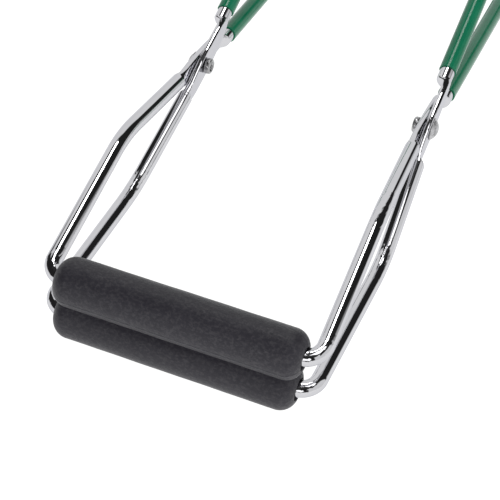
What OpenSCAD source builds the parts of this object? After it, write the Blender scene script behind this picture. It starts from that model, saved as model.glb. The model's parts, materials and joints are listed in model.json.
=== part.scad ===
// Jar lifter: two crossed wire frames riveted together at both sides.
// Each frame has a roller grip on its handle and a dipped sleeve on its jaw.
// It lies closed on a flat surface, on the lower grip and the lower jaw.
// Each frame is the other one turned half a turn about the length (Y).

/* [Wire] */
// Diameter of the bare wire
wire_d = 5.5; // [5:0.1:5.8]
// Bend radius beside each grip, at the wire's centre
grip_bend_r = 6.5; // [6:0.5:8]
// Bend radius at each knee
knee_bend_r = 22; // [15:1:30]
// Bend radius where each arm turns into the jaw
jaw_bend_r = 9; // [8:0.5:12]
// Gap between the two ends of one wire, inside the grip
wire_end_gap = 2; // [1:0.5:6]
// How much the straight wire is drawn thinner than its bends, in radius
draw_down = 0.03; // [0.02:0.01:0.05]

/* [Side profile] */
// Distance from the grips to the knees
knee_y = 61; // [50:1:70]
// Height of the knees above the middle plane
knee_z = 12.6; // [11:0.2:14]
// Distance from the grips to the rivets
pivot_y = 117; // [110:1:125]
// Distance from the grips to the jaw corners
jaw_y = 234; // [200:1:240]
// Distance from the grips to the ends of the sleeves
sleeve_y = 142; // [138:1:160]

/* [Plan] */
// Half the distance between the arms beside the grips
grip_x = 45.8; // [45:0.1:46.5]
// Half the distance between the arms at the knees
knee_x = 46.1; // [45:0.1:47]
// Half the distance between the flattened straps
strap_x = 43.6; // [43:0.1:44.5]
// Half the distance between the arms at the jaw corners
jaw_x = 44.2; // [43.5:0.1:46]
// Angle that the jaw arc makes with the cross line at its ends
jaw_rise = 20; // [15:1:35]

/* [Strap and rivet] */
// Thickness of a flattened strap
strap_t = 2.2; // [1.8:0.1:2.4]
// Width of a strap at its middle
strap_w = 8.6; // [8:0.2:10]
// Distance from the rivet to the round wire, towards the grips
strap_back = 16; // [14:0.5:18]
// Distance from the rivet to the round wire, towards the jaws
strap_front = 21.5; // [18:0.5:23]
// Gap between the two straps of a pivot
strap_gap = 0.2; // [0.1:0.05:0.3]
// Diameter of the rivet's shank
shank_d = 4.5; // [4:0.1:5]
// Diameter of the rivet's domed head
head_d = 8; // [7:0.2:8.8]
// Height of the domed head
head_h = 2.2; // [1.6:0.1:2.6]
// Outer diameter of the clinched tail
tail_d = 5.8; // [5.4:0.1:6.4]
// Height of the clinched tail
tail_h = 2.2; // [1.6:0.1:2.6]
// Radial clearance of the shank and of the grip on its wire
running_gap = 0.05; // [0.02:0.01:0.1]

/* [Grips] */
// Outer diameter of a grip
grip_d = 16.5; // [15:0.5:16.5]
// Length of a grip
grip_l = 83.5; // [80:0.5:84]
// Radius that rounds the grip's ends
grip_round = 6; // [4:0.5:7]
// Gap between the closed grips
grip_gap = 0.3; // [0.2:0.1:1]
// Depth of the flared mouth at each end of the bore
mouth_l = 4; // [3:0.5:5]
// Diameter of the flared mouth
mouth_d = 8; // [7.4:0.2:9]

/* [Sleeves] */
// Outer diameter of a sleeve
sleeve_d = 6.5; // [6.3:0.1:7]
// Gap between the wire and the sleeve
sleeve_gap = 0.05; // [0.03:0.01:0.1]

/* [Hidden] */
$fn = 48;
// Sideways shift of one frame, which lets the straps lie beside each other
strap_shift = (strap_t + strap_gap) / 2;
grip_shift = 0.8;
knee_shift = 0.9;
// How far a wire's centre may stand off its strap's centre, inside and out
step_in = 0.7;
step_out = 1.6;
// How far the straight wire runs into a bend
lap = 0.2;

grip_z = (grip_d + grip_gap) / 2;
leg_slope = knee_z / (pivot_y - knee_y);
leg_angle = atan(leg_slope);
jaw_z = -leg_slope * (jaw_y - pivot_y);

// Sleeve and jaw: the arc's ends run straight into the corner bends
jaw_turn = acos(sin(leg_angle) * sin(jaw_rise));
jaw_setback = jaw_bend_r * tan(jaw_turn / 2);
arc_end_x = jaw_x - jaw_setback * cos(jaw_rise);
arc_r = arc_end_x / sin(jaw_rise);
arc_end_z = jaw_z - jaw_setback * sin(jaw_rise);
arc_centre_z = arc_end_z + arc_r * cos(jaw_rise);
jaw_low_z = arc_centre_z - arc_r;

// Lying pose: the lower grip and the lower jaw touch the surface
jaw_tube_r = sleeve_d / 2 - draw_down;
jaw_drop = -jaw_low_z - grip_z;
pitch = atan(jaw_drop / jaw_y)
    - asin((grip_d / 2 - jaw_tube_r) / norm([jaw_y, jaw_drop]));
rest_z = grip_d / 2 + grip_z * cos(pitch);
front_y = -grip_d / 2 - grip_z * sin(pitch);
back_y = jaw_y * cos(pitch) - jaw_low_z * sin(pitch) + jaw_tube_r;
middle_y = (front_y + back_y) / 2;

function unit(v) = v / norm(v);
function turn_at(a, b, c) = acos(unit(b - a) * unit(c - b));
function setback(a, b, c, r) = r * tan(turn_at(a, b, c) / 2);
function toward(a, b, distance) = a + unit(b - a) * distance;

// The pivot line's height falls to the jaws and rises to the knees
function leg_z(y) = leg_slope * (pivot_y - y);

// Corner points of one arm of the upper-handled frame; side is -1 or 1
function wire_end(side) = [side * wire_end_gap / 2, 0, grip_z];
function grip_corner(side) = [side * grip_x + grip_shift, 0, grip_z];
function knee(side) = [side * knee_x - knee_shift, knee_y, knee_z];
function strap_start(side) =
    let (y = pivot_y - strap_back * cos(leg_angle))
    [side * (strap_x + step_in) - strap_shift, y, leg_z(y)];
function strap_end(side) =
    let (y = pivot_y + strap_front * cos(leg_angle))
    [side * strap_x - strap_shift + step_out, y, leg_z(y)];
function jaw_corner(side) = [side * jaw_x, jaw_y, jaw_z];
function arc_end(side) = [side * arc_end_x, jaw_y, arc_end_z];
function sleeve_end(side) =
    let (a = strap_end(side), b = jaw_corner(side))
    a + (b - a) * (sleeve_y - a.y) / (b.y - a.y);

// Straight wire from one point to another, run a little into the bends
module bar(from, to, d, into = [0, 0]) {
    start = from - unit(to - from) * into[0];
    v = to + unit(to - from) * into[1] - start;
    translate(start)
        rotate([0, acos(v.z / norm(v)), atan2(v.y, v.x)])
            cylinder(d = d - 2 * draw_down, h = norm(v));
}

// Round bar bent at corner b on its way from a to c
module bend(a, b, c, r, d) {
    along = unit(b - a);
    onward = unit(c - b);
    inward = unit(onward - (onward * along) * along);
    normal = cross(-inward, along);
    centre = b - along * setback(a, b, c, r) + inward * r;
    multmatrix([
        [-inward.x, along.x, normal.x, centre.x],
        [-inward.y, along.y, normal.y, centre.y],
        [-inward.z, along.z, normal.z, centre.z],
        [0, 0, 0, 1]
    ])
        rotate_extrude(angle = turn_at(a, b, c))
            translate([r, 0])
                circle(d = d);
}

// Jaw arc, in the cross plane at the arms' tips
module jaw_arc(d) {
    reach = jaw_rise + lap / arc_r * 180 / PI;
    translate([0, jaw_y, arc_centre_z])
        rotate([90, 0, 0])
            rotate([0, 0, -90 - reach])
                rotate_extrude(angle = 2 * reach)
                    translate([arc_r, 0])
                        circle(d = d - 2 * draw_down);
}

// One arm's jaw end: straight bar from a given point, then the corner bend
module jaw_arm(side, from, d) {
    corner = jaw_corner(side);
    after = arc_end(side);
    bar(from, toward(corner, from, setback(from, corner, after, jaw_bend_r)), d, [0, lap]);
    bend(from, corner, after, jaw_bend_r, d);
}

// One arm's handle end: wire end, grip bend, knee bend and leg
module handle_arm(side, d) {
    start = wire_end(side);
    corner = grip_corner(side);
    bent = knee(side);
    leg_end = strap_start(side);
    corner_cut = setback(start, corner, bent, grip_bend_r);
    knee_cut = setback(corner, bent, leg_end, knee_bend_r);
    bar(start, toward(corner, start, corner_cut), d, [0, lap]);
    bend(start, corner, bent, grip_bend_r, d);
    bar(toward(corner, bent, corner_cut), toward(bent, corner, knee_cut), d, [lap, lap]);
    bend(corner, bent, leg_end, knee_bend_r, d);
    bar(toward(bent, leg_end, knee_cut), leg_end, d, [lap, 0]);
}

// Flattened strap, wide at its middle and narrow where it meets the wire
module strap(side) {
    bury = 2;
    narrow = 1.6;
    half = (strap_front + strap_back) / 2;
    side_r = (half * half + narrow * narrow) / (2 * narrow);
    translate([side * strap_x - strap_shift - strap_t / 2, pivot_y, 0])
        rotate([-leg_angle, 0, 0])
            rotate([90, 0, 90])
                linear_extrude(strap_t)
                    translate([(strap_front - strap_back) / 2, 0])
                        intersection() {
                            translate([0, side_r - strap_w / 2]) circle(side_r, $fn = 180);
                            translate([0, strap_w / 2 - side_r]) circle(side_r, $fn = 180);
                            square([2 * (half + bury), strap_w], center = true);
                        }
}

// Bare wire frame with its upper handle: both arms, straps and jaw arc
module wire_frame() {
    difference() {
        union() {
            for (side = [-1, 1]) {
                handle_arm(side, wire_d);
                strap(side);
                jaw_arm(side, strap_end(side), wire_d);
            }
            jaw_arc(wire_d);
        }
        translate([0, pivot_y, 0])
            rotate([0, 90, 0])
                cylinder(d = shank_d + 2 * running_gap, h = 4 * strap_x, center = true);
    }
}

// Tube over the jaw from one arm to the other, cut square at both ends
module jaw_sleeve() {
    over = 1;
    difference() {
        union() {
            for (side = [-1, 1])
                jaw_arm(side, sleeve_end(side), sleeve_d);
            jaw_arc(sleeve_d);
        }
        for (side = [-1, 1])
            jaw_arm(side, toward(sleeve_end(side), strap_end(side), over),
                    wire_d + 2 * sleeve_gap);
        jaw_arc(wire_d + 2 * sleeve_gap);
    }
}

// Moulded roller with rounded ends and a bore that flares at both mouths
module grip() {
    half = grip_l / 2;
    bore_r = wire_d / 2 + running_gap;
    translate([grip_shift, 0, grip_z])
        rotate([0, 90, 0])
            rotate_extrude()
                difference() {
                    union() {
                        translate([0, grip_round - half])
                            square([grip_d / 2, grip_l - 2 * grip_round]);
                        translate([0, -half])
                            square([grip_d / 2 - grip_round, grip_l]);
                        for (end = [-1, 1])
                            translate([grip_d / 2 - grip_round, end * (half - grip_round)])
                                circle(grip_round);
                    }
                    translate([-grip_round, -half - 1])
                        square([grip_round + bore_r, grip_l + 2]);
                    for (end = [0, 1])
                        mirror([0, end])
                            polygon([
                                [0, half - mouth_l],
                                [bore_r, half - mouth_l],
                                [mouth_d / 2, half],
                                [mouth_d / 2, half + 1],
                                [0, half + 1]
                            ]);
                }
}

// Semi-tubular rivet at the left pivot: head outside, clinched tail inside
module rivet() {
    clinch_x = 2 * strap_t + 2 * strap_gap;
    head_r = (head_d * head_d / 4 + head_h * head_h) / (2 * head_h);
    hollow_r = 1.4;
    lip = 0.5;
    translate([-strap_x - strap_shift - strap_t / 2, pivot_y, 0])
        rotate([0, 90, 0])
            rotate_extrude()
                difference() {
                    union() {
                        intersection() {
                            translate([0, head_r - head_h]) circle(head_r, $fn = 96);
                            translate([0, -head_h]) square([head_d, head_h]);
                        }
                        square([shank_d / 2, clinch_x + tail_h]);
                        translate([0, clinch_x])
                            square([tail_d / 2 - lip, tail_h]);
                        translate([0, clinch_x])
                            square([tail_d / 2, tail_h - lip]);
                        translate([tail_d / 2 - lip, clinch_x + tail_h - lip])
                            circle(lip);
                    }
                    translate([-head_r, -head_h - 1])
                        square([head_r, 2 * head_r + head_h + 1]);
                    translate([0, clinch_x - 1])
                        square([hollow_r, tail_h + 2]);
                }
}

// Lays the part on the surface, with its middle over the origin
module lay() {
    translate([0, -middle_y, rest_z])
        rotate([pitch, 0, 0])
            children();
}

// The other frame: the same parts turned half a turn about the length
module other() {
    rotate([0, 180, 0])
        children();
}

module top_handle_wire() {
    color("silver") lay() wire_frame();
}

module bottom_handle_wire() {
    color("silver") lay() other() wire_frame();
}

module top_handle_grip() {
    color([0.16, 0.16, 0.17]) lay() grip();
}

module bottom_handle_grip() {
    color([0.16, 0.16, 0.17]) lay() other() grip();
}

module lower_jaw_sleeve() {
    color([0.05, 0.35, 0.22]) lay() jaw_sleeve();
}

module upper_jaw_sleeve() {
    color([0.05, 0.35, 0.22]) lay() other() jaw_sleeve();
}

module left_rivet() {
    color([0.6, 0.6, 0.62]) lay() rivet();
}

module right_rivet() {
    color([0.6, 0.6, 0.62]) lay() other() rivet();
}

top_handle_wire();
bottom_handle_wire();
top_handle_grip();
bottom_handle_grip();
lower_jaw_sleeve();
upper_jaw_sleeve();
left_rivet();
right_rivet();
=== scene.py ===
import json
import math

import bpy
import numpy as np
from mathutils import Matrix, Vector


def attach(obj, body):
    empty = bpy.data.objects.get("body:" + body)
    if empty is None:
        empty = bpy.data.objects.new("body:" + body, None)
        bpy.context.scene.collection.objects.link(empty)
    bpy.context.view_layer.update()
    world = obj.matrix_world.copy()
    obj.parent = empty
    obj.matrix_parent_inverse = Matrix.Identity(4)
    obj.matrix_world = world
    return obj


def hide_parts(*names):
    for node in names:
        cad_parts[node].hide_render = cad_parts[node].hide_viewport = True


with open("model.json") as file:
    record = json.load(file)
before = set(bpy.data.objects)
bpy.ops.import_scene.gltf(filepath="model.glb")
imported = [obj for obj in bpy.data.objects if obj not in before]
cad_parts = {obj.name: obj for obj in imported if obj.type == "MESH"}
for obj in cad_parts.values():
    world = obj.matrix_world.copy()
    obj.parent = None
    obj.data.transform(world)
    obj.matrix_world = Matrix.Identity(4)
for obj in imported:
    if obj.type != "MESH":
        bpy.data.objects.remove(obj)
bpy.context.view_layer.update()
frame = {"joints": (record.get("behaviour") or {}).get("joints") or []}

mm = 0.001
scene = bpy.context.scene

# The closed tool's own frame, from its joints: X across, Y from the grips to the jaws, Z the way it opens.
# Its origin is the middle between the two grip axes. The pieces and the camera are set out in millimetres.
jointAt = {joint["name"]: Vector(joint["pos_m"]) for joint in frame["joints"]}
handleMiddle = (jointAt["top_grip_roll"] + jointAt["bottom_grip_roll"]) / 2
along = (jointAt["frame_hinge"] - handleMiddle).normalized()
across = Vector((1, 0, 0))
topPlace = Matrix((across, along, across.cross(along))).transposed().to_4x4()
topPlace.translation = handleMiddle
bottomPlace = topPlace @ Matrix.Rotation(math.pi, 4, "Y")  # the other frame is this one turned half a turn
pivotY = (jointAt["frame_hinge"] - handleMiddle).length / mm
gripZ = (jointAt["top_grip_roll"] - jointAt["bottom_grip_roll"]).length / 2 / mm
gripZ = math.sqrt(gripZ ** 2 - (jointAt["top_grip_roll"].x / mm) ** 2)


# Node trees: Port wraps a socket and does its maths, Board makes every node.
class Port:
    def __init__(self, board, socket):
        self.board = board
        self.socket = socket

    def math(self, operation, *others):
        made = self.board.tree.nodes.new("ShaderNodeMath")
        made.operation = operation
        for slot, value in zip(made.inputs, (self, *others)):
            self.board.feed(slot, value)
        return Port(self.board, made.outputs[0])

    def __add__(self, other):
        return self.math("ADD", other)

    def __radd__(self, other):
        return self.math("ADD", other)

    def __mul__(self, other):
        return self.math("MULTIPLY", other)

    def __rmul__(self, other):
        return self.math("MULTIPLY", other)

    def __sub__(self, other):
        return self.math("SUBTRACT", other)

    def __rsub__(self, other):
        return (self * -1).math("ADD", other)

    def above(self, edge, soft):  # 0 below the edge, 1 above it, blended over soft on both sides
        ramp = self.board.make("ShaderNodeMapRange", {"interpolation_type": "SMOOTHSTEP"},
                               {"Value": self, "From Min": edge - soft, "From Max": edge + soft})
        return ramp["Result"]


class Board:
    def __init__(self, tree):
        self.tree = tree

    def feed(self, slot, value):
        if isinstance(value, Port):
            self.tree.links.new(value.socket, slot)
        else:
            slot.default_value = value

    def make(self, kind, settings=None, inputs=None):
        made = self.tree.nodes.new(kind)
        for key, value in (settings or {}).items():
            setattr(made, key, value)
        for key, value in (inputs or {}).items():
            self.feed(made.inputs[key], value)
        return Outlets(self, made)


class Outlets:
    def __init__(self, board, made):
        self.board = board
        self.made = made

    def __getitem__(self, key):
        return Port(self.board, self.made.outputs[key])


# Geometry trees
crisp = {"angle": 0.7, "soft": 0.01}  # an edge sharper than this, in radians, is shaded crisp
drill = {"sides": 48, "length": 200}


def newTree(name, inputs):
    tree = bpy.data.node_groups.new(name, "GeometryNodeTree")
    tree.interface.new_socket("Geometry", in_out="INPUT", socket_type="NodeSocketGeometry")
    for label, kind in inputs.items():
        tree.interface.new_socket(label, in_out="INPUT", socket_type=kind)
    tree.interface.new_socket("Geometry", in_out="OUTPUT", socket_type="NodeSocketGeometry")
    board = Board(tree)
    return board, board.make("NodeGroupInput")


def closeTree(board, geometry, material):
    angle = board.make("GeometryNodeInputMeshEdgeAngle")["Unsigned Angle"]
    soft = board.make("GeometryNodeSetShadeSmooth", {"domain": "FACE"}, {"Geometry": geometry})
    sharp = board.make("GeometryNodeSetShadeSmooth", {"domain": "EDGE"}, {
        "Geometry": soft[0], "Selection": angle.above(crisp["angle"], crisp["soft"]), "Shade Smooth": False})
    solid = board.make("GeometryNodeRealizeInstances", None, {"Geometry": sharp[0]})
    coated = board.make("GeometryNodeSetMaterial", None, {"Geometry": solid[0], "Material": material})
    board.make("NodeGroupOutput", None, {"Geometry": coated[0]})


def stored(board, name, kind="FLOAT"):
    return board.make("GeometryNodeInputNamedAttribute", {"data_type": kind}, {"Name": name})["Attribute"]


def sweptPath(board, source):
    line = board.make("GeometryNodeMeshToCurve", None, {"Mesh": source["Geometry"]})
    bent = board.make("GeometryNodeFilletCurve", {"mode": "POLY"},
                      {"Curve": line[0], "Radius": stored(board, "bend"), "Count": source["Bend Steps"]})
    return bent[0]


def pressedWireTree(material):
    # A round wire along a path, pressed flat where the path's stations say so, and drilled for the rivets
    board, source = newTree("pressedWire", {
        "Wire Radius": "NodeSocketFloat", "Sides": "NodeSocketInt", "Bend Steps": "NodeSocketInt",
        "Pivot Y": "NodeSocketFloat", "Hole Radius": "NodeSocketFloat"})
    place = board.make("GeometryNodeInputPosition")["Position"]
    marked = board.make("GeometryNodeStoreNamedAttribute", {"data_type": "FLOAT_VECTOR", "domain": "POINT"},
                        {"Geometry": sweptPath(board, source), "Name": "centre", "Value": place})
    ring = board.make("GeometryNodeCurvePrimitiveCircle", {"mode": "RADIUS"},
                      {"Resolution": source["Sides"], "Radius": source["Wire Radius"]})
    swept = board.make("GeometryNodeCurveToMesh", None,
                       {"Curve": marked[0], "Profile Curve": ring["Curve"], "Fill Caps": True})
    here = board.make("ShaderNodeSeparateXYZ", None, {"Vector": place})
    middle = board.make("ShaderNodeSeparateXYZ", None, {"Vector": stored(board, "centre", "FLOAT_VECTOR")})
    spread = stored(board, "spread")
    flat = here["X"].math("MAXIMUM", stored(board, "low")).math("MINIMUM", stored(board, "high"))
    pressed = board.make("ShaderNodeCombineXYZ", None, {
        "X": flat,
        "Y": middle["Y"] + (here["Y"] - middle["Y"]) * spread,
        "Z": middle["Z"] + (here["Z"] - middle["Z"]) * spread})
    shaped = board.make("GeometryNodeSetPosition", None,
                        {"Geometry": swept[0], "Position": pressed["Vector"]})
    bit = board.make("GeometryNodeMeshCylinder", None, {
        "Vertices": drill["sides"], "Radius": source["Hole Radius"], "Depth": drill["length"] * mm})
    laid = board.make("GeometryNodeTransform", None, {
        "Geometry": bit["Mesh"], "Rotation": (0, math.pi / 2, 0),
        "Translation": board.make("ShaderNodeCombineXYZ", None, {"Y": source["Pivot Y"]})["Vector"]})
    drilled = board.make("GeometryNodeMeshBoolean", {"operation": "DIFFERENCE", "solver": "MANIFOLD"},
                         {"Mesh 1": shaped[0], "Mesh 2": laid[0]})
    closeTree(board, drilled["Mesh"], material)
    return board.tree


def sleeveTree(material):
    # A tube along a path: its outside swept by the stations' girth, its inside cut away
    board, source = newTree("dippedSleeve", {
        "Outer Radius": "NodeSocketFloat", "Inner Radius": "NodeSocketFloat",
        "Sides": "NodeSocketInt", "Bend Steps": "NodeSocketInt"})
    path = sweptPath(board, source)
    tangent = board.make("GeometryNodeInputTangent")["Tangent"]
    longer = path
    for first, last, over in ((1, 0, -mm), (0, 1, mm)):  # the bore runs out of both ends
        tip = board.make("GeometryNodeCurveEndpointSelection", None, {"Start Size": first, "End Size": last})
        out = board.make("ShaderNodeVectorMath", {"operation": "SCALE"}, {"Vector": tangent, "Scale": over})
        longer = board.make("GeometryNodeSetPosition", None, {
            "Geometry": longer, "Selection": tip["Selection"], "Offset": out["Vector"]})[0]
    walls = []
    for route, radius, girth in ((path, source["Outer Radius"], stored(board, "girth")),
                                 (longer, source["Inner Radius"], 1.0)):
        scaled = board.make("GeometryNodeSetCurveRadius", None, {"Curve": route, "Radius": girth})
        ring = board.make("GeometryNodeCurvePrimitiveCircle", {"mode": "RADIUS"},
                          {"Resolution": source["Sides"], "Radius": radius})
        walls.append(board.make("GeometryNodeCurveToMesh", None,
                                {"Curve": scaled[0], "Profile Curve": ring["Curve"], "Fill Caps": True}))
    hollow = board.make("GeometryNodeMeshBoolean", {"operation": "DIFFERENCE", "solver": "MANIFOLD"},
                        {"Mesh 1": walls[0][0], "Mesh 2": walls[1][0]})
    closeTree(board, hollow["Mesh"], material)
    return board.tree


def grow(name, stations, tree, inputs, place):
    # The stations become a line of points with their values as attributes, and the tree makes the piece of it
    base = bpy.data.meshes.new(name + "Path")
    links = [(i, i + 1) for i in range(len(stations) - 1)]
    base.from_pydata([Vector(station["at"]) * mm for station in stations], links, [])
    for key in stations[0]:
        if key != "at":
            values = base.attributes.new(key, "FLOAT", "POINT")
            values.data.foreach_set("value", [station[key] for station in stations])
    source = bpy.data.objects.new(name + "Source", base)
    scene.collection.objects.link(source)
    modifier = source.modifiers.new("grow", "NODES")
    modifier.node_group = tree
    for item in tree.interface.items_tree:
        if item.in_out == "INPUT" and item.name in inputs:
            modifier[item.identifier] = inputs[item.name]
    graph = bpy.context.evaluated_depsgraph_get()
    mesh = bpy.data.meshes.new_from_object(source.evaluated_get(graph), depsgraph=graph)
    bpy.data.objects.remove(source)
    return addPiece(name, mesh, place)


def addPiece(name, mesh, place, material=None):
    mesh.transform(place)
    if material:
        mesh.materials.append(material)
    piece = bpy.data.objects.new(name, mesh)
    scene.collection.objects.link(piece)
    return piece


# Materials: lengths are in metres, and noise scales in cycles a metre
def newMaterial(name):
    material = bpy.data.materials.new(name)
    material.use_nodes = True
    material.node_tree.nodes.clear()
    return material, Board(material.node_tree)


def finishMaterial(board, surface):
    shader = board.make("ShaderNodeBsdfPrincipled", None, surface)
    board.make("ShaderNodeOutputMaterial", None, {"Surface": shader["BSDF"]})


def noise(board, scale, detail, stretch=(1, 1, 1), rough=0.5):
    place = board.make("ShaderNodeTexCoord")["Object"]
    stretched = board.make("ShaderNodeMapping", None, {"Vector": place, "Scale": stretch})
    return board.make("ShaderNodeTexNoise", None, {
        "Vector": stretched["Vector"], "Scale": scale, "Detail": detail, "Roughness": rough})["Fac"]


def blendColours(board, factor, first, second):
    mixed = board.make("ShaderNodeMix", {"data_type": "RGBA"}, {0: factor, 6: first, 7: second})
    return mixed[2]


def bump(board, height, distance, strength=1.0):
    return board.make("ShaderNodeBump", None, {
        "Height": height, "Distance": distance, "Strength": strength})["Normal"]


chromeLook = {
    "dull": (0.565, 0.565, 0.587, 1), "bright": (0.60, 0.60, 0.618, 1), "edgeTint": (0.74, 0.74, 0.77, 1),
    "cloud": {"scale": 90, "detail": 3}, "cloudEdge": (0.5, 0.25),
    "speck": {"scale": 2600, "detail": 3, "rough": 0.7}, "speckEdge": (0.66, 0.05),
    "mark": {"scale": 480, "detail": 2, "stretch": (1, 0.3, 1)}, "markEdge": (0.55, 0.14),
    "drawn": {"scale": 1300, "detail": 2, "stretch": (1, 0.04, 1)},
    "roughness": 0.02, "cloudRoughness": 0.02, "speckRoughness": 0.08, "workedRoughness": 0.03,
    "markHeight": 0.5, "drawnHeight": 0.03, "relief": 0.0002, "strength": 0.55}


def chromeMaterial():
    # Bright plate with tool marks where the wire was worked, and faint lines from drawing it
    look = chromeLook
    material, board = newMaterial("chromePlate")
    cloud = noise(board, **look["cloud"]).above(*look["cloudEdge"])
    speck = noise(board, **look["speck"]).above(*look["speckEdge"])
    worked = board.make("ShaderNodeAttribute", {"attribute_name": "worked"})["Fac"]
    marks = noise(board, **look["mark"]).above(*look["markEdge"]) * worked
    drawn = noise(board, **look["drawn"]) * look["drawnHeight"]
    rough = look["roughness"] + cloud * look["cloudRoughness"] + speck * look["speckRoughness"]
    finishMaterial(board, {
        "Base Color": blendColours(board, cloud, look["dull"], look["bright"]),
        "Metallic": 1.0,
        "Specular Tint": look["edgeTint"],
        "Roughness": rough + worked * look["workedRoughness"],
        "Normal": bump(board, marks * look["markHeight"] + drawn, look["relief"], look["strength"])})
    return material


gripLook = {
    "dark": (0.0208, 0.0196, 0.0252, 1), "light": (0.024, 0.0227, 0.0288, 1), "dust": (0.08, 0.077, 0.083, 1),
    "cloud": {"scale": 75, "detail": 4, "stretch": (0.45, 1, 1), "rough": 0.6}, "patchEdge": (0.5, 0.1),
    "grain": {"scale": 1500, "detail": 3, "stretch": (0.8, 1, 1), "rough": 0.7},
    "speck": {"scale": 1050, "detail": 4, "stretch": (0.75, 1, 1), "rough": 0.75}, "speckEdge": (0.54, 0.1),
    # The speck colour serves both real dust and a painted sheen; the band's amount, angle and edge set where
    # the painted sheen lies
    "dustiness": 0.34, "everywhere": 0.08, "inPatches": 0.2, "onScuff": 0.72,
    "scuffAngle": math.radians(152), "scuffEdge": (0.0079, 0.0006),
    "roughness": 0.33, "patchRoughness": 0.06, "grainRoughness": 0.14, "gloss": 0.25,
    "cloudHeight": 2, "relief": 0.00018, "strength": 0.8}


def gripMaterial():
    # Moulded plastic, dusty in patches, with a painted sheen: light dust specks crowd along one band on the
    # side where the light falls
    look = gripLook
    material, board = newMaterial("charcoalPlastic")
    place = board.make("ShaderNodeSeparateXYZ", None, {"Vector": board.make("ShaderNodeTexCoord")["Object"]})
    # Painted sheen: the band on one side of the grip, facing the light, gets many more light specks
    outwards = place["Y"] * math.cos(look["scuffAngle"]) + place["Z"] * math.sin(look["scuffAngle"])
    paintedSheenBand = outwards.above(*look["scuffEdge"])
    cloud = noise(board, **look["cloud"])
    patch = cloud.above(*look["patchEdge"])
    grain = noise(board, **look["grain"])
    specks = noise(board, **look["speck"]).above(*look["speckEdge"])
    # Real dust everywhere and in patches, plus a painted sheen along the band
    dust = specks * (look["everywhere"] + patch * look["inPatches"] + paintedSheenBand * look["onScuff"])
    ground = blendColours(board, patch, look["dark"], look["light"])
    finishMaterial(board, {
        "Base Color": blendColours(board, dust * look["dustiness"], ground, look["dust"]),
        "Roughness": look["roughness"] + patch * look["patchRoughness"] + grain * look["grainRoughness"],
        "Specular IOR Level": look["gloss"],
        "Normal": bump(board, grain + cloud * look["cloudHeight"], look["relief"], look["strength"])})
    return material


vinylLook = {
    "deep": (0.006, 0.142, 0.07, 1), "fresh": (0.009, 0.17, 0.085, 1),
    "cloud": {"scale": 160, "detail": 3}, "cloudEdge": (0.5, 0.3), "peel": {"scale": 900, "detail": 2},
    "roughness": 0.13, "cloudRoughness": 0.05, "peelRoughness": 0.04, "gloss": 0.3,
    "relief": 0.00008, "strength": 0.25}


def vinylMaterial():
    look = vinylLook
    material, board = newMaterial("greenVinyl")
    cloud = noise(board, **look["cloud"]).above(*look["cloudEdge"])
    peel = noise(board, **look["peel"])
    finishMaterial(board, {
        "Base Color": blendColours(board, cloud, look["deep"], look["fresh"]),
        "Roughness": look["roughness"] + cloud * look["cloudRoughness"] + peel * look["peelRoughness"],
        "Specular IOR Level": look["gloss"],
        "Normal": bump(board, peel, look["relief"], look["strength"])})
    return material


rivetLook = {
    "dark": (0.26, 0.26, 0.265, 1), "bright": (0.52, 0.52, 0.53, 1),
    "cloud": {"scale": 700, "detail": 4, "rough": 0.65}, "cloudEdge": (0.5, 0.2),
    "grain": {"scale": 3500, "detail": 3},
    "roughness": 0.18, "cloudRoughness": 0.16, "grainRoughness": 0.1, "relief": 0.00008, "strength": 0.5}


def rivetMaterial():
    look = rivetLook
    material, board = newMaterial("dullSteel")
    cloud = noise(board, **look["cloud"]).above(*look["cloudEdge"])
    grain = noise(board, **look["grain"])
    finishMaterial(board, {
        "Base Color": blendColours(board, cloud, look["dark"], look["bright"]),
        "Metallic": 1.0,
        "Roughness": look["roughness"] + cloud * look["cloudRoughness"] + grain * look["grainRoughness"],
        "Normal": bump(board, grain + cloud, look["relief"], look["strength"])})
    return material


# Wire frames
wire = {"diameter": 5.5, "endGap": 2.0, "gripBend": 6.5, "kneeBend": 50.0, "jawBend": 9.0,
        "gripX": 45.8, "gripShift": 0.8, "kneeX": 46.1, "kneeShift": -0.9, "kneeY": 61.0, "kneeZ": 12.6,
        "kneeProud": 0.7, "jawX": 44.2, "jawY": 234.0, "jawRise": math.radians(19.84),
        "arcShare": 0.995,  # of the largest jaw arc that fits between the corners
        "beforeGripBend": 9, "afterGripBend": 10, "besideKnee": 11,  # where the tool marks end
        "topMarks": (0.1, 1.0), "bottomMarks": (1.0, 1.0),  # how marked each frame's left and right knees are
        "sides": 72, "bendSteps": 24}
strap = {"x": 43.6, "shift": -1.2, "thickness": 2.2, "width": 8.6, "narrowing": 3.2, "back": 16.0,
         "front": 21.5, "shoulder": 2.0, "widening": 1.5, "inward": 0.7, "outward": 1.6, "swing": 6.0,
         "beyond": 0.3, "worked": 0.35, "stations": 140}
legSlope = wire["kneeZ"] / (pivotY - wire["kneeY"])
legAngle = math.atan(legSlope)
jawZ = -legSlope * (wire["jawY"] - pivotY)
apexZ = jawZ - wire["jawX"] * math.tan(wire["jawRise"])
jawTurn = math.acos(math.sin(legAngle) * math.sin(wire["jawRise"]))
jawSetback = wire["jawBend"] * math.tan(jawTurn / 2)
arcRadius = (wire["arcShare"] * (wire["jawX"] - jawSetback * math.cos(wire["jawRise"]))
             / math.sin(wire["jawRise"]))


def ease(x):
    x = min(1.0, max(0.0, x))
    return x * x * (3 - 2 * x)


# One point of a wire's path: how it bends there, the X it is pressed between, how wide it spreads, and how
# marked it is
def station(at, bend=0.0, low=-1.0, high=1.0, spread=1.0, worked=0.0):
    return {"at": at, "bend": bend * mm, "low": low, "high": high, "spread": spread, "worked": worked}


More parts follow.
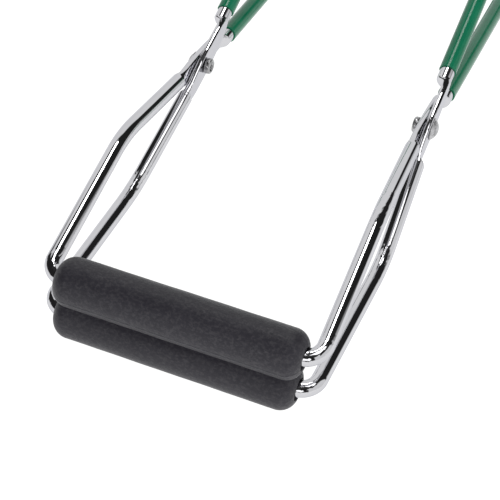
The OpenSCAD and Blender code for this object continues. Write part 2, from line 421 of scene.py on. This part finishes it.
def strapStations(side):
    # Stations along one flattened strap; reach is the distance from the rivet, towards the jaws
    radius = wire["diameter"] / 2
    strapX = side * strap["x"] + strap["shift"]
    backX = side * (strap["x"] + strap["inward"]) + strap["shift"]
    frontX = strapX + strap["outward"]
    middle, half = (strap["front"] - strap["back"]) / 2, (strap["front"] + strap["back"]) / 2
    found = []
    for i in range(strap["stations"] + 1):
        reach = middle + (i / strap["stations"] * 2 - 1) * (half + strap["beyond"])
        inside = half - abs(reach - middle)
        press = ease(inside / strap["shoulder"])
        wireX = frontX if reach > middle else backX
        x = wireX + (strapX - wireX) * ease(inside / strap["swing"])
        low = x - radius + (strapX - strap["thickness"] / 2 - x + radius) * press
        high = x + radius + (strapX + strap["thickness"] / 2 - x - radius) * press
        width = strap["width"] - strap["narrowing"] * ((reach - middle) / half) ** 2
        spread = 1 + (width / wire["diameter"] - 1) * ease(inside / strap["widening"])
        found.append(station((x, pivotY + reach * math.cos(legAngle), -reach * math.sin(legAngle)),
                             low=low * mm, high=high * mm, spread=spread, worked=strap["worked"] * press))
    return found


def stepped(start, toward, distance):
    return Vector(start) + (Vector(toward) - Vector(start)).normalized() * distance


def armStations(side, kneeMarks):
    # The wire is worked, and so marked, only round its bends
    end = (side * wire["endGap"] / 2, 0, gripZ)
    corner = (side * wire["gripX"] + wire["gripShift"], 0, gripZ)
    knee = (side * wire["kneeX"] + wire["kneeShift"], wire["kneeY"], wire["kneeZ"] + wire["kneeProud"])
    straps = strapStations(side)
    return [station(end),
            station(stepped(corner, end, wire["beforeGripBend"])),
            station(corner, wire["gripBend"], worked=1.0),
            station(stepped(corner, knee, wire["afterGripBend"])),
            station(stepped(knee, corner, wire["besideKnee"])),
            station(knee, wire["kneeBend"], worked=kneeMarks),
            station(stepped(knee, straps[0]["at"], wire["besideKnee"])),
            *straps,
            station((side * wire["jawX"], wire["jawY"], jawZ), wire["jawBend"])]


def frameStations(leftMarks, rightMarks):
    apex = station((0, wire["jawY"], apexZ), arcRadius)
    return armStations(1, rightMarks) + [apex] + armStations(-1, leftMarks)[::-1]


def addWire(name, place, tree, leftMarks, rightMarks):
    inputs = {"Wire Radius": wire["diameter"] / 2 * mm, "Pivot Y": pivotY * mm,
              "Hole Radius": (rivet["shank"] / 2 + rivet["play"]) * mm,
              "Sides": wire["sides"], "Bend Steps": wire["bendSteps"]}
    return grow(name, frameStations(leftMarks, rightMarks), tree, inputs, place)


# Jaw sleeves
sleeve = {"diameter": 6.42, "bore": 5.6, "startY": 142.0, "lip": 0.3, "lipSteps": 5,
          "sides": 64, "bendSteps": 28}


def sleeveStations():
    # Each end starts in a small rounded lip
    arms = {}
    for side in (-1, 1):
        root = strapStations(side)[-1]["at"]
        corner = Vector((side * wire["jawX"], wire["jawY"], jawZ))
        line = corner - Vector(root)
        start = Vector(root) + line * (sleeve["startY"] - root[1]) / line.y
        line.normalize()
        lip = []
        for i in range(sleeve["lipSteps"] + 1):
            turn = i / sleeve["lipSteps"] * math.pi / 2
            drop = sleeve["lip"] * (1 - math.sin(turn))
            lip.append({"at": tuple(start + line * sleeve["lip"] * (1 - math.cos(turn))), "bend": 0.0,
                        "girth": 1 - drop / (sleeve["diameter"] / 2)})
        arms[side] = lip + [{"at": tuple(corner), "bend": wire["jawBend"] * mm, "girth": 1.0}]
    apex = {"at": (0, wire["jawY"], apexZ), "bend": arcRadius * mm, "girth": 1.0}
    return arms[1] + [apex] + arms[-1][::-1]


def addSleeve(name, place, tree):
    inputs = {"Outer Radius": sleeve["diameter"] / 2 * mm, "Inner Radius": sleeve["bore"] / 2 * mm,
              "Sides": sleeve["sides"], "Bend Steps": sleeve["bendSteps"]}
    return grow(name, sleeveStations(), tree, inputs, place)


# Turned pieces: a profile of (place along X, radius), swept round the X axis. A closed one is a ring, and the
# others start and end on the axis.
onAxis = 1e-6


def turned(profile, sides, closed, ripple=None):
    points = np.array(profile, float)
    angles = np.arange(sides) / sides * 2 * math.pi
    rings, faces, vertices = [], [], []
    for x, radius in points:
        if radius < onAxis:
            rings.append([len(vertices)])
            vertices.append((x, 0, 0))
            continue
        rings.append(list(range(len(vertices), len(vertices) + sides)))
        for angle in angles:
            r = radius + (ripple(x, radius, angle) if ripple else 0)
            vertices.append((x, r * math.cos(angle), r * math.sin(angle)))
    pairs = list(zip(rings, rings[1:] + rings[:1])) if closed else list(zip(rings, rings[1:]))
    for first, second in pairs:
        for i in range(sides):
            a, b = i, (i + 1) % sides
            if len(first) == 1:
                faces.append((first[0], second[b], second[a]))
            elif len(second) == 1:
                faces.append((first[a], first[b], second[0]))
            else:
                faces.append((first[a], first[b], second[b], second[a]))
    mesh = bpy.data.meshes.new("turned")
    mesh.from_pydata([Vector(v) * mm for v in vertices], [], faces)
    mesh.shade_smooth()
    return mesh


def arc(centre, radius, start, end, steps):
    angles = [math.radians(start + (end - start) * i / steps) for i in range(steps + 1)]
    return [(centre[0] + radius * math.cos(angle), centre[1] + radius * math.sin(angle)) for angle in angles]


# Grips
grip = {"diameter": 16.5, "length": 83.5, "round": 5.6, "bore": 5.6, "mouth": 7.6, "mouthDepth": 4.0,
        "chamfer": 1.6, "chamferDrop": 0.1, "lip": 0.5, "seamHeight": 0.12, "seamWidth": 0.035,
        "seamAngle": math.radians(-173),
        "waver": 0.04, "waverAlong": 0.31, "waverRound": 2, "waverDrift": 0.13,
        "ragged": [(7, 0, 1.3, 0.09), (13, 1, 0, 0.06)],  # a mouth's waves: round, along, start and height
        "fade": 0.8, "fadeStart": 0.4,
        "bottomRoll": math.radians(65),  # turns the bottom grip's parting line out of sight
        "sides": 216, "barrelPoints": 12, "roundSteps": 20, "lipSteps": 5, "borePoints": 5}


def gripProfile():
    # The right half, from the barrel's middle over the rounded end into the bore, and then its mirror image
    half, bore = grip["length"] / 2, grip["bore"] / 2
    radius = grip["diameter"] / 2 - grip["waver"]
    flat = radius - grip["round"]
    mouth = grip["mouth"] / 2
    right = [(x * (half - grip["round"]), radius) for x in np.linspace(0, 1, grip["barrelPoints"])[:-1]]
    last = math.asin((mouth + grip["lip"] - flat) / grip["round"])
    right += arc((half - grip["round"], flat), grip["round"], 90, math.degrees(last), grip["roundSteps"])
    face = half - grip["round"] * (1 - math.cos(last)) - grip["lip"]
    right += arc((face, mouth + grip["lip"]), grip["lip"], 0, -90, grip["lipSteps"])[1:]
    right += [(half - grip["chamfer"], mouth - grip["chamferDrop"]), (half - grip["mouthDepth"], bore)]
    right += [(x * (half - grip["mouthDepth"]), bore) for x in np.linspace(1, 0, grip["borePoints"])[1:]]
    left = [(-x, r) for x, r in right[::-1]]
    return right[:-1] + left[:-1]


def gripRipple(x, radius, angle):
    # The parting line and a slight waver outside, and ragged lips at the mouths
    outside = ease((radius - grip["mouth"] / 2 - grip["fadeStart"]) / grip["fade"])
    lip = 1 - ease(abs(radius - grip["mouth"] / 2) / grip["fade"])
    seam = 0.0
    for seamAngle in (grip["seamAngle"], grip["seamAngle"] + math.pi):
        away = math.remainder(angle - seamAngle, 2 * math.pi) * radius / (grip["diameter"] / 2)
        seam += math.exp(-(away / grip["seamWidth"]) ** 2)
    wave = math.sin(x * grip["waverAlong"] + grip["waverRound"] * math.sin(angle))
    wave *= math.cos(x * grip["waverDrift"] + angle)
    ragged = sum(math.sin(turns * angle + run * x + start) * height
                 for turns, run, start, height in grip["ragged"])
    return outside * (seam * grip["seamHeight"] + wave * grip["waver"]) + lip * ragged


def addGrip(name, place, material, roll):
    shift = Matrix.Translation(Vector((wire["gripShift"], 0, gripZ)) * mm)
    mesh = turned(gripProfile(), grip["sides"], True, gripRipple)
    return addPiece(name, mesh, place @ shift @ Matrix.Rotation(roll, 4, "X"), material)


# Rivets
rivet = {"shank": 4.5, "play": 0.05, "strapGap": 0.2, "sides": 64,
         "head": 8.0, "headHeight": 2.2, "headEdge": 0.25, "headSteps": 12,
         "underHead": [(-0.02, 0.12), (0, 0.4)],  # places along X, and how far in from the head's rim
         "tail": 5.8, "tailHeight": 2.2, "tailRim": 0.8, "rimSteps": 5,
         "underTail": [(0, 0.3), (0.25, 0)],  # how far past the straps, and how far in from the tail's rim
         "hollow": 1.5, "hollowEnd": 3.4,
         "hollowWall": [(0.25, 0.35), (0.9, 0), (3.2, -0.15)]}  # depths, and how much wider than the hollow


def rivetProfile():
    # From the dome's middle, over its edge, along the shank and round the clinched rim into the hollow
    dome = (rivet["head"] ** 2 / 4 + rivet["headHeight"] ** 2) / (2 * rivet["headHeight"])
    edge = math.degrees(math.asin(rivet["head"] / 2 / dome))
    head = arc((0, 0), dome, 0, edge, rivet["headSteps"])
    head = [(min(dome - rivet["headHeight"] - x, -rivet["headEdge"]), r) for x, r in head]
    head += [(x, rivet["head"] / 2 - inwards) for x, inwards in rivet["underHead"]]
    clinch = 2 * strap["thickness"] + 2 * rivet["strapGap"]
    end, tail, rim = clinch + rivet["tailHeight"], rivet["tail"] / 2, rivet["tailRim"]
    shank = [(0, rivet["shank"] / 2), (clinch, rivet["shank"] / 2)]
    shank += [(clinch + past, tail - inwards) for past, inwards in rivet["underTail"]]
    rolled = arc((end - rim, tail - rim), rim, 90, 0, rivet["rimSteps"])
    hollow = [(end - depth, rivet["hollow"] + wider) for depth, wider in rivet["hollowWall"]]
    return head + shank + rolled + hollow + [(end - rivet["hollowEnd"], 0)]


def addRivet(name, place, material):
    outer = -strap["x"] + strap["shift"] - strap["thickness"] / 2
    shift = Matrix.Translation(Vector((outer, pivotY, 0)) * mm)
    return addPiece(name, turned(rivetProfile(), rivet["sides"], False), place @ shift, material)


# Build
chrome, plastic, vinyl, steel = chromeMaterial(), gripMaterial(), vinylMaterial(), rivetMaterial()
wireMaker, sleeveMaker = pressedWireTree(chrome), sleeveTree(vinyl)
topWire = addWire("topHandleWire", topPlace, wireMaker, *wire["topMarks"])
bottomWire = addWire("bottomHandleWire", bottomPlace, wireMaker, *wire["bottomMarks"])
lowerSleeve = addSleeve("lowerJawSleeve", topPlace, sleeveMaker)
upperSleeve = addSleeve("upperJawSleeve", bottomPlace, sleeveMaker)
topGrip = addGrip("topHandleGrip", topPlace, plastic, 0)
bottomGrip = addGrip("bottomHandleGrip", bottomPlace, plastic, grip["bottomRoll"])
leftRivet = addRivet("leftRivet", topPlace, steel)
rightRivet = addRivet("rightRivet", bottomPlace, steel)
for piece, body, node, slot in (
        (topWire, "top_frame", "top_handle_wire", "chrome_wire"),
        (bottomWire, "bottom_frame", "bottom_handle_wire", "chrome_wire"),
        (lowerSleeve, "top_frame", "lower_jaw_sleeve", "jaw_vinyl"),
        (upperSleeve, "bottom_frame", "upper_jaw_sleeve", "jaw_vinyl"),
        (topGrip, "top_grip", "top_handle_grip", "grip_plastic"),
        (bottomGrip, "bottom_grip", "bottom_handle_grip", "grip_plastic"),
        (leftRivet, "top_frame", "left_rivet", "rivet_steel"),
        (rightRivet, "bottom_frame", "right_rivet", "rivet_steel")):
    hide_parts(node)
    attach(piece, body)
    print(piece.name, len(piece.data.polygons), "faces")


# Studio: a glowing pale table, three pale walls with dark gaps between them, a dark ceiling, and three
# softboxes, the last of which lights the dull surfaces and shows in no reflection.
# Azimuths run from the tool's own Y towards its X, and elevations from the plane of the two, in degrees.
# Lengths are in metres.
studio = {
    "floor": 6.0, "floorGlow": 0.95, "floorShade": 0.22, "floorCloud": {"scale": 2.0, "detail": 2},
    "floorLift": 1.03, "floorRoughness": 0.9, "floorGloss": 0.1,
    "dark": 0.022, "ceiling": 0.9, "ceilingSoft": 0.12, "ceilingGlow": 0.07,
    "tableTop": 0.07, "tableSoft": 0.06, "tableGlow": 0.8,
    "walls": [{"azimuth": -24, "half": 37, "bottom": -9, "top": 47, "level": 1.0},
              {"azimuth": 94, "half": 37, "bottom": -9, "top": 43, "level": 0.95},
              {"azimuth": 176, "half": 30, "bottom": 15, "top": 36, "level": 1.9}],
    "sideSoft": 0.05, "topSoft": 0.03, "bottomSoft": 0.04,
    "lean": {"normal": (0.795, -0.436, 0.422), "edge": -0.03, "soft": 0.06},  # of the first wall's far edge
    "softboxes": [{"azimuth": -10, "elevation": 63.5, "size": (0.46, 0.34), "level": 8.0, "mirrored": True},
                  {"azimuth": 80, "elevation": 73, "size": (0.62, 0.66), "level": 2.2, "mirrored": True},
                  {"azimuth": 158, "elevation": 42, "size": (0.5, 0.4), "level": 15.0, "mirrored": False}],
    "softboxAway": 1.5}


def heading(azimuth, elevation):
    a, e = math.radians(azimuth), math.radians(elevation)
    return topPlace.to_3x3() @ Vector((math.sin(a) * math.cos(e), math.cos(a) * math.cos(e), math.sin(e)))


def addFloor():
    material, board = newMaterial("paleTable")
    shade, glow = studio["floorShade"], studio["floorGlow"]
    cloud = noise(board, **studio["floorCloud"])
    tint = blendColours(board, cloud, (shade, shade, shade, 1), (shade * studio["floorLift"],) * 3 + (1,))
    finishMaterial(board, {
        "Base Color": tint, "Roughness": studio["floorRoughness"], "Specular IOR Level": studio["floorGloss"],
        "Emission Color": (glow, glow, glow, 1), "Emission Strength": 1.0})
    half = studio["floor"]
    mesh = bpy.data.meshes.new("floor")
    corners = [(-half, -half, 0), (half, -half, 0), (half, half, 0), (-half, half, 0)]
    mesh.from_pydata(corners, [], [(0, 1, 2, 3)])
    addPiece("floor", mesh, Matrix.Identity(4), material)


def addSoftbox(name, box):
    light = bpy.data.lights.new(name, "AREA")
    light.shape = "RECTANGLE"
    light.size, light.size_y = box["size"]
    light.energy = box["level"] * math.pi * light.size * light.size_y
    lamp = bpy.data.objects.new(name, light)
    toward, forward = heading(box["azimuth"], box["elevation"]), heading(0, 0)
    ahead = (forward - toward * toward.dot(forward)).normalized()
    place = Matrix((ahead.cross(toward), ahead, toward)).transposed().to_4x4()
    place.translation = toward * studio["softboxAway"]
    lamp.matrix_world = place
    lamp.visible_glossy = box["mirrored"]
    scene.collection.objects.link(lamp)


def addWorld():
    world = bpy.data.worlds.new("studio")
    world.use_nodes = True
    world.node_tree.nodes.clear()
    board = Board(world.node_tree)
    direction = board.make("ShaderNodeTexCoord")["Generated"]

    def facing(vector):
        return board.make("ShaderNodeVectorMath", {"operation": "DOT_PRODUCT"},
                          {0: direction, 1: vector})["Value"]

    height = facing(heading(0, 90))
    table = 1 - height.above(studio["tableTop"], studio["tableSoft"])
    level = studio["dark"] + table * studio["tableGlow"]
    level = level + height.above(studio["ceiling"], studio["ceilingSoft"]) * studio["ceilingGlow"]
    for wall in studio["walls"]:
        ahead, side = facing(heading(wall["azimuth"], 0)), facing(heading(wall["azimuth"] + 90, 0))
        away = side.math("ARCTAN2", ahead).math("ABSOLUTE")
        lit = 1 - away.above(math.radians(wall["half"]), studio["sideSoft"])
        lit = lit * (1 - height.above(math.sin(math.radians(wall["top"])), studio["topSoft"]))
        lit = lit * height.above(math.sin(math.radians(wall["bottom"])), studio["bottomSoft"])
        if wall is studio["walls"][0]:
            lean = studio["lean"]
            leaning = facing(topPlace.to_3x3() @ Vector(lean["normal"]))
            lit = lit * (1 - leaning.above(lean["edge"], lean["soft"]))
        level = level.math("MAXIMUM", lit * wall["level"])
    seen = board.make("ShaderNodeLightPath")["Is Camera Ray"]  # the camera sees a white room
    glow = board.make("ShaderNodeBackground", None,
                      {"Color": (1, 1, 1, 1), "Strength": level.math("MAXIMUM", seen)})
    board.make("ShaderNodeOutputWorld", None, {"Surface": glow["Background"]})
    scene.world = world


# Camera, in the closed tool's own frame
lens = {"focal": 102.8, "sensor": 36.0, "azimuth": math.radians(22.08), "elevation": math.radians(49.31),
        "roll": math.radians(0.33), "distance": 467.6, "target": (7.8, 40.2, 0.0), "near": 10}


def addCamera():
    azimuth, elevation, roll = lens["azimuth"], lens["elevation"], lens["roll"]
    back = Vector((math.sin(azimuth) * math.cos(elevation), -math.cos(azimuth) * math.cos(elevation),
                   math.sin(elevation)))
    right = (-back).cross(Vector((0, 0, 1))).normalized()
    up = right.cross(-back)
    turnedRight = right * math.cos(roll) + up * math.sin(roll)
    turnedUp = up * math.cos(roll) - right * math.sin(roll)
    place = Matrix((turnedRight, turnedUp, back)).transposed().to_4x4()
    place.translation = (Vector(lens["target"]) + back * lens["distance"]) * mm
    data = bpy.data.cameras.new("camera")
    data.lens = lens["focal"]
    data.sensor_width = lens["sensor"]
    data.clip_start = lens["near"] * mm
    camera = bpy.data.objects.new("camera", data)
    camera.matrix_world = topPlace @ place
    scene.collection.objects.link(camera)
    scene.camera = camera


addFloor()
for number, box in enumerate(studio["softboxes"]):
    addSoftbox("softbox" + str(number + 1), box)
addWorld()
addCamera()
scene.view_settings.view_transform = "Standard"
print("studio and camera ready")
